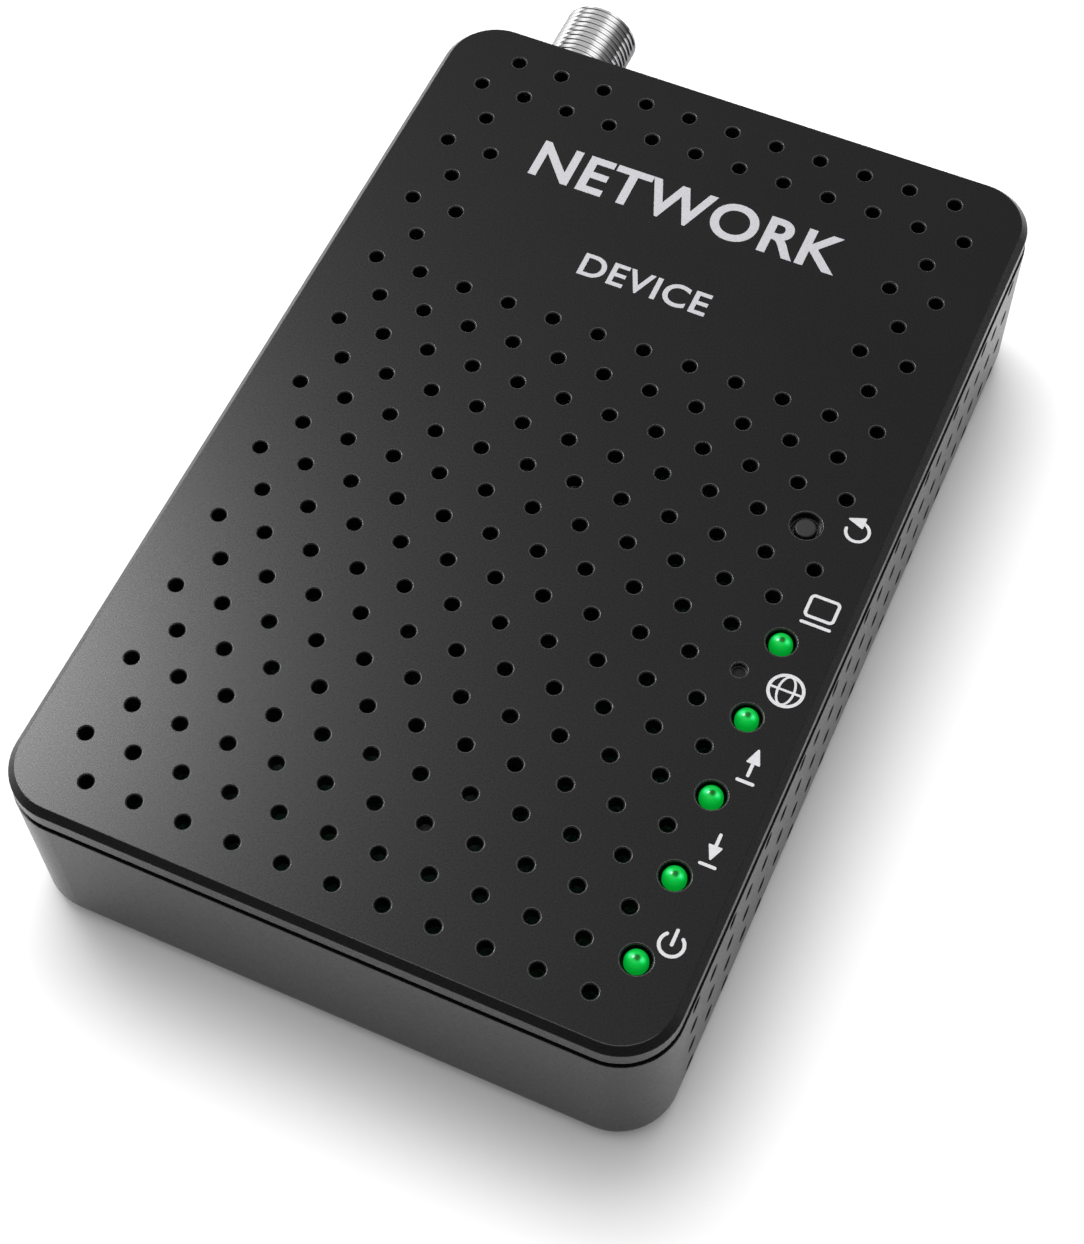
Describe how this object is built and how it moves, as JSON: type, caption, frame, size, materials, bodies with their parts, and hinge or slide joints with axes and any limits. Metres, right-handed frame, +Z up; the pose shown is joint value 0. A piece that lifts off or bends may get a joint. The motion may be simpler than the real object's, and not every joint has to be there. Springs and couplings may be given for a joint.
{
  "type": "cable modem",
  "caption": "Flat rounded-rectangular cable modem with perforated top and sides, status lights, recessed reset button, threaded coaxial connector, network socket and barrel supply socket.",
  "frame": {"origin": "middle of the whole object's box, on the plane that the feet rest on", "axes": "+Y from the front of the case to the back, where the connectors are; +Z up; +X to the right, towards the status lights"},
  "size_m": [0.0734, 0.128, 0.026],
  "materials": {
    "case_plastic": "satin black, fine moulded texture",
    "button_plastic": "dark grey, smooth",
    "label_film": "silver-grey polyester film, blank",
    "print_ink": "light grey pad print",
    "black_screw": "black oxide",
    "plated_steel": "bright zinc plate",
    "nickel_plate": "bright nickel plate",
    "white_insulator": "natural moulded polymer",
    "gold_contact": "gold flash",
    "tinned_steel": "tinned sheet",
    "jack_plastic": "black moulded plastic",
    "board_laminate": "green solder mask",
    "anodised_aluminium": "black anodised",
    "thermal_silicone": "soft pad",
    "chip_ceramic": "ceramic chips",
    "capacitor_can": "bare can",
    "ferrite": "sintered ferrite",
    "light_pipe_acrylic": "clear, lit green from below",
    "switch_plastic": "grey moulded plastic",
    "foot_rubber": "soft black rubber",
    "led_package": "white package, diffused lens",
    "chip_epoxy": "black moulding compound"
  },
  "bodies": {
    "case": {"board_passives": "chip_ceramic", "board_screws": "plated_steel", "bottom_case": "case_plastic", "case_screws": "black_screw", "coax_connector_body": "nickel_plate", "coax_contact": "gold_contact", "coax_insulator": "white_insulator", "core_inductor": "ferrite", "crystal": "tinned_steel", "ethernet_contacts": "gold_contact", "ethernet_housing": "jack_plastic", "ethernet_magnetics": "chip_epoxy", "ethernet_shield": "tinned_steel", "flash_chip": "chip_epoxy", "heatsink": "anodised_aluminium", "input_capacitor": "capacitor_can", "light_pipe": "light_pipe_acrylic", "main_board": "board_laminate", "memory_chip": "chip_epoxy", "modem_chip": "chip_epoxy", "output_capacitor": "capacitor_can", "printed_symbols": "print_ink", "rating_label": "label_film", "rear_panel": "case_plastic", "reset_switch_dome": "plated_steel", "reset_switch_housing": "jack_plastic", "rubber_foot_1": "foot_rubber", "rubber_foot_2": "foot_rubber", "rubber_foot_3": "foot_rubber", "rubber_foot_4": "foot_rubber", "status_led_1": "led_package", "status_led_2": "led_package", "status_led_3": "led_package", "status_led_4": "led_package", "status_led_5": "led_package", "supply_inductor": "ferrite", "supply_jack_housing": "jack_plastic", "supply_jack_pin": "plated_steel", "supply_jack_spring": "plated_steel", "supply_regulator": "chip_epoxy", "thermal_pad": "thermal_silicone", "top_cover": "case_plastic", "tuner_capacitor": "capacitor_can", "tuner_chip": "chip_epoxy", "tuner_shield": "tinned_steel"},
    "reset": {"reset_button": "button_plastic", "reset_switch_plunger": "switch_plastic"}
  },
  "joints": [
    {"name": "reset_press", "type": "slide", "parent": "case", "child": "reset", "axis": [0, 0, -1], "range_m": [0, 0.0003], "stiffness_N_per_m": 400, "deforming": ["reset_switch_dome"]}
  ]
}
